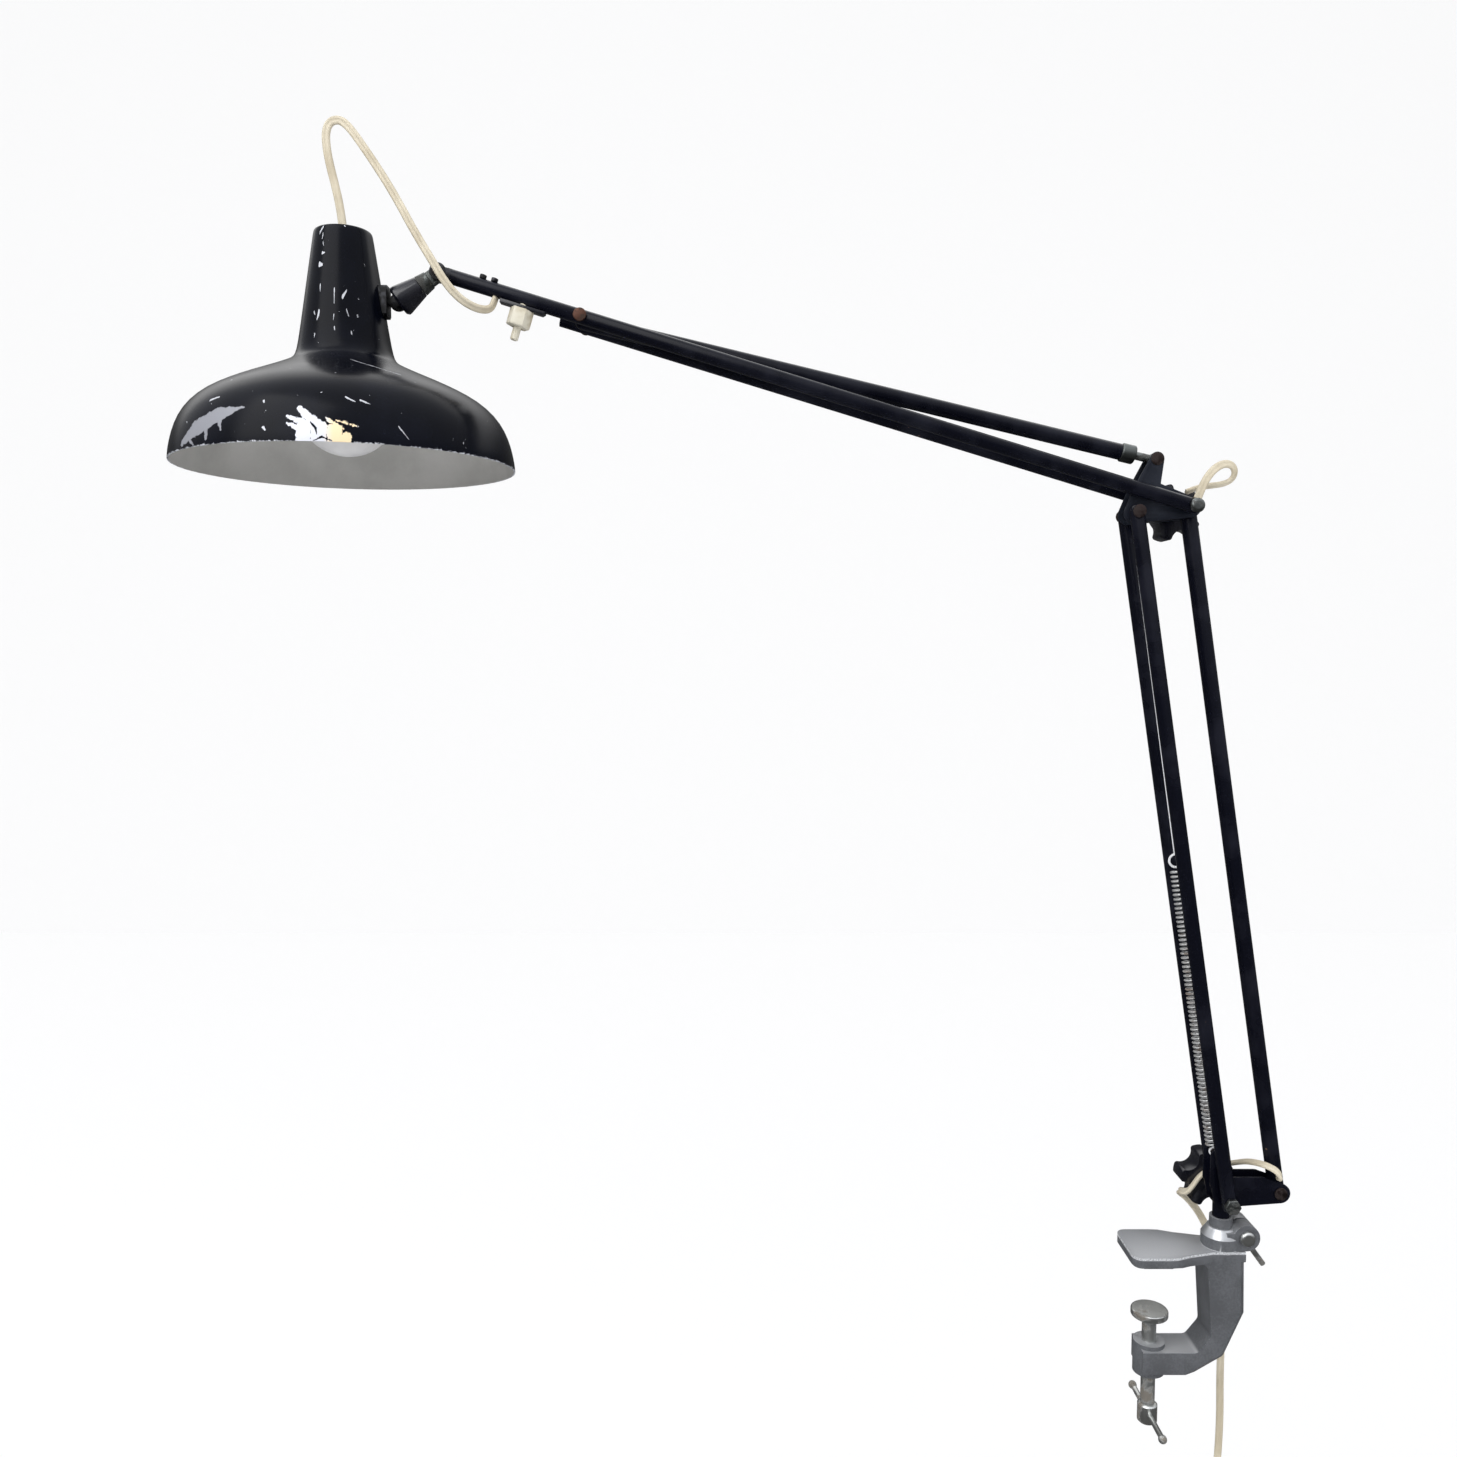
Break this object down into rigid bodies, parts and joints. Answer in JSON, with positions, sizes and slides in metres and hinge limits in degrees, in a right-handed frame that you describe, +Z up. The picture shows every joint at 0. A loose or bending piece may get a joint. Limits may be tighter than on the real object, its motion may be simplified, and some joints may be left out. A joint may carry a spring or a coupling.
{
  "type": "clamp-on architect desk lamp",
  "caption": "Clamp-on desk lamp with a parallelogram lower arm, a strut-braced upper arm and a spun bell shade that tilts and turns on a ball joint.",
  "frame": {"origin": "under the middle of the upper jaw's pad, on the desk top that it rests on", "axes": "+Z up, -X along the arms towards the shade, -Y the lamp's near side, with the bolt heads"},
  "size_m": [0.7788, 0.2246, 1.067],
  "materials": {
    "black_enamel": "gloss",
    "shade_enamel": "worn gloss enamel on spun aluminium",
    "bracket_enamel": "satin",
    "black_plastic": "gloss",
    "cast_alloy": "as cast, rubbed bright on edges",
    "bright_steel": "dull zinc",
    "spring_steel": "rusty grey",
    "rivet_steel": "rust brown",
    "grey_alloy": "satin",
    "cream_plastic": "satin",
    "bulb_frost": "frosted",
    "bulb_brass": "satin",
    "flex_vinyl": "satin"
  },
  "bodies": {
    "clamp": {"clamp_frame": "cast_alloy", "pinch_bolt": "bright_steel", "flex_lead": "flex_vinyl", "flex_coil": "flex_vinyl", "coil_tie": "flex_vinyl", "mains_plug": "flex_vinyl"},
    "pinch": {"pinch_nut": "bright_steel"},
    "pad": {"swivel_pad": "bright_steel"},
    "screw": {"clamp_screw": "bright_steel", "tommy_bar": "bright_steel"},
    "base": {"base_post": "black_enamel", "base_bracket": "black_enamel", "base_sleeve": "bright_steel", "link_rivet": "rivet_steel", "spring_pin": "spring_steel", "flex_base": "flex_vinyl"},
    "lower_arm": {"lower_tube_near": "black_enamel", "lower_tube_far": "black_enamel", "lower_pivot_bolt": "bright_steel", "elbow_rivet": "rivet_steel", "balance_spring": "spring_steel", "spring_wire": "spring_steel"},
    "lower_knob": {"lower_knob": "black_plastic"},
    "rear_link": {"rear_link": "black_enamel"},
    "elbow": {"elbow_bracket": "bracket_enamel", "strut_rear_rivet": "rivet_steel", "flex_elbow": "flex_vinyl"},
    "upper_arm": {"upper_tube_near": "black_enamel", "upper_tube_far": "black_enamel", "upper_pivot_bolt": "bright_steel", "strut_front_rivet": "rivet_steel", "arm_fork": "grey_alloy", "fork_screws": "bright_steel", "knuckle_pin": "rivet_steel", "switch_saddle": "black_plastic", "switch_housing": "cream_plastic", "flex_arm": "flex_vinyl"},
    "upper_knob": {"upper_knob": "black_plastic"},
    "strut_rod": {"strut_rod": "bright_steel"},
    "strut_tube": {"strut_tube": "black_enamel", "strut_ferrule": "grey_alloy", "strut_spring": "spring_steel"},
    "switch_button": {"switch_button": "cream_plastic"},
    "knuckle": {"knuckle": "grey_alloy"},
    "socket": {"ball_socket": "black_plastic", "flex_socket": "flex_vinyl"},
    "head": {"ball_stud": "bright_steel", "neck_plate": "grey_alloy", "stud_nut": "bright_steel", "shade": "shade_enamel", "holder_nipple": "bright_steel", "lamp_holder": "black_plastic", "bulb_glass": "bulb_frost", "bulb_cap": "bulb_brass", "flex_shade": "flex_vinyl"}
  },
  "joints": [
    {"name": "pinch_turn", "type": "hinge", "parent": "clamp", "child": "pinch", "pos_m": [0.0638, 0, 0.0196], "axis": [0, 1, 0], "range_deg": [-60, 30]},
    {"name": "pad_slide", "type": "slide", "parent": "clamp", "child": "pad", "axis": [0, 0, 1], "range_m": [-0.01, 0.01]},
    {"name": "screw_turn", "type": "hinge", "parent": "pad", "child": "screw", "pos_m": [0, 0, -0.08], "axis": [0, 0, 1], "range_deg": [-1200, 1200]},
    {"name": "base_swivel", "type": "hinge", "parent": "clamp", "child": "base", "pos_m": [0.0497, 0, 0], "axis": [0, 0, 1], "range_deg": [-150, 150], "deforming": ["flex_lead"]},
    {"name": "lower_lean", "type": "hinge", "parent": "base", "child": "lower_arm", "pos_m": [0.0497, 0, 0.0462], "axis": [0, -1, 0], "range_deg": [-30, 40], "deforming": ["balance_spring", "spring_wire"]},
    {"name": "lower_knob_turn", "type": "hinge", "parent": "lower_arm", "child": "lower_knob", "pos_m": [0.0497, 0, 0.0462], "axis": [0, 1, 0], "range_deg": [-180, 180]},
    {"name": "link_swing", "type": "hinge", "parent": "base", "child": "rear_link", "pos_m": [0.0886, 0, 0.0501], "axis": [0, -1, 0], "range_deg": [-30, 40], "deforming": ["flex_base"]},
    {"name": "elbow_level", "type": "hinge", "parent": "lower_arm", "child": "elbow", "pos_m": [-0.02549, 0, 0.52908], "axis": [0, -1, 0], "range_deg": [-40, 30]},
    {"name": "upper_raise", "type": "hinge", "parent": "elbow", "child": "upper_arm", "pos_m": [0.01341, 0, 0.53298], "axis": [0, 1, 0], "range_deg": [-7, 60], "deforming": ["flex_elbow"]},
    {"name": "upper_knob_turn", "type": "hinge", "parent": "upper_arm", "child": "upper_knob", "pos_m": [0.01341, 0, 0.53298], "axis": [0, 1, 0], "range_deg": [-180, 180]},
    {"name": "strut_swing", "type": "hinge", "parent": "elbow", "child": "strut_rod", "pos_m": [-0.01039, 0, 0.56578], "axis": [0, 1, 0], "range_deg": [-8, 66]},
    {"name": "strut_follow", "type": "hinge", "parent": "upper_arm", "child": "strut_tube", "pos_m": [-0.40287, 0, 0.65922], "axis": [0, 1, 0], "range_deg": [-1, 6], "deforming": ["strut_spring"]},
    {"name": "switch_press", "type": "slide", "parent": "upper_arm", "child": "switch_button", "axis": [0.2902, 0, 0.957], "range_m": [0, 0.003], "stiffness_N_per_m": 600},
    {"name": "knuckle_tilt", "type": "hinge", "parent": "upper_arm", "child": "knuckle", "pos_m": [-0.49761, -0.0129, 0.68795], "axis": [0, 1, 0], "range_deg": [-30, 30], "deforming": ["flex_arm"]},
    {"name": "socket_turn", "type": "hinge", "parent": "knuckle", "child": "socket", "pos_m": [-0.52518, -0.0129, 0.66857], "axis": [-0.8181, 0, -0.575], "range_deg": [-60, 60], "deforming": ["flex_socket"]},
    {"name": "head_tilt", "type": "hinge", "parent": "socket", "child": "head", "pos_m": [-0.52518, -0.0129, 0.66857], "axis": [0, 1, 0], "range_deg": [-28, 0], "deforming": ["flex_shade"]}
  ],
  "couplings": [
    {"joint": "screw_turn", "follows": "pad_slide", "rad_per_m": 2094.4},
    {"joint": "link_swing", "follows": "lower_lean", "ratio": 1},
    {"joint": "elbow_level", "follows": "lower_lean", "ratio": -1},
    {"joint": "strut_swing", "follows": "upper_raise", "ratio": 1.0935},
    {"joint": "strut_follow", "follows": "upper_raise", "ratio": 0.0935}
  ]
}
